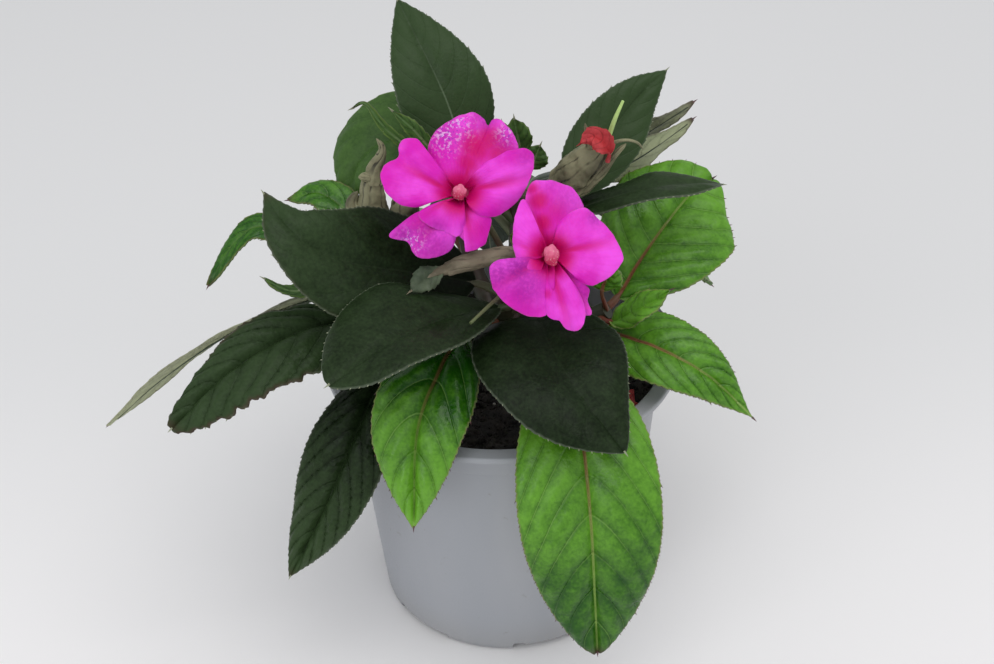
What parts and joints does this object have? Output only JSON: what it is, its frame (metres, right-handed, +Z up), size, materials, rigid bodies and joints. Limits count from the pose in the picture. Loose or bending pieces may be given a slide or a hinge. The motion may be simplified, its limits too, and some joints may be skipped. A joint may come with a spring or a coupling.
{
  "type": "potted new guinea impatiens",
  "caption": "Bushy bedding plant with pointed, finely toothed dark and bright green leaves and flat magenta blooms, in a tapered pale grey plastic pot filled with soil.",
  "frame": {"origin": "middle of the pot's underside, on the surface that the pot stands on", "axes": "+Z up; -Y is the side that the open blooms face; +X to the right seen from that side"},
  "size_m": [0.2334, 0.185, 0.2292],
  "materials": {
    "pot": "matt blue-grey",
    "soil": "dark, crumbly and rough",
    "stem": "fleshy, satin green with a red tinge",
    "leaf_dark": "leathery, satin, very dark green",
    "leaf_middle": "satin, mid green",
    "leaf_bright": "satin, fresh green with paler veins",
    "leaf_pale": "matt grey-green underside",
    "dried_leaf": "papery brown, matt",
    "faded_petal": "withered, matt red",
    "petal": "velvety, matt magenta",
    "bloom_eye": "satin pink",
    "bloom_stalk": "satin pale green"
  },
  "bodies": {
    "root": {"pot": "pot", "soil": "soil", "stems": "stem", "leaf_top": "leaf_dark", "leaf_back_left": "leaf_middle", "leaf_small_curled": "leaf_middle", "leaf_small_left": "leaf_bright", "leaf_arched_left": "leaf_bright", "leaf_left_upper": "leaf_dark", "leaf_left_lower": "leaf_dark", "leaf_far_left": "leaf_pale", "leaf_front_left": "leaf_dark", "leaf_front_right": "leaf_dark", "leaf_front_middle": "leaf_bright", "leaf_lower_left": "leaf_dark", "leaf_front_low": "leaf_bright", "leaf_right_round": "leaf_bright", "leaf_right_upper": "leaf_dark", "leaf_right_small": "leaf_bright", "leaf_right_lower": "leaf_bright", "leaf_top_right": "leaf_dark", "leaf_pale_upper": "leaf_pale", "leaf_pale_lower": "leaf_pale", "leaf_rear_high": "leaf_dark", "leaf_rear_left": "leaf_bright", "leaf_rear_middle": "leaf_dark", "leaf_rear_side_left": "leaf_dark", "leaf_rear_right": "leaf_dark", "leaf_rear_low": "leaf_bright", "leaf_rear_side_right": "leaf_bright", "young_leaves_front": "leaf_bright", "young_leaves_back": "leaf_middle", "young_leaves_right": "leaf_bright", "young_leaves_left": "leaf_middle", "curled_leaf": "dried_leaf", "withered_leaves": "dried_leaf", "faded_bloom": "dried_leaf", "faded_bloom_petals": "faded_petal", "fallen_petal": "faded_petal", "bloom_left_petals": "petal", "bloom_left_eye": "bloom_eye", "bloom_left_stalk": "bloom_stalk", "bloom_right_petals": "petal", "bloom_right_eye": "bloom_eye", "bloom_right_stalk": "bloom_stalk", "faded_bloom_spur": "bloom_stalk"}
  },
  "joints": []
}
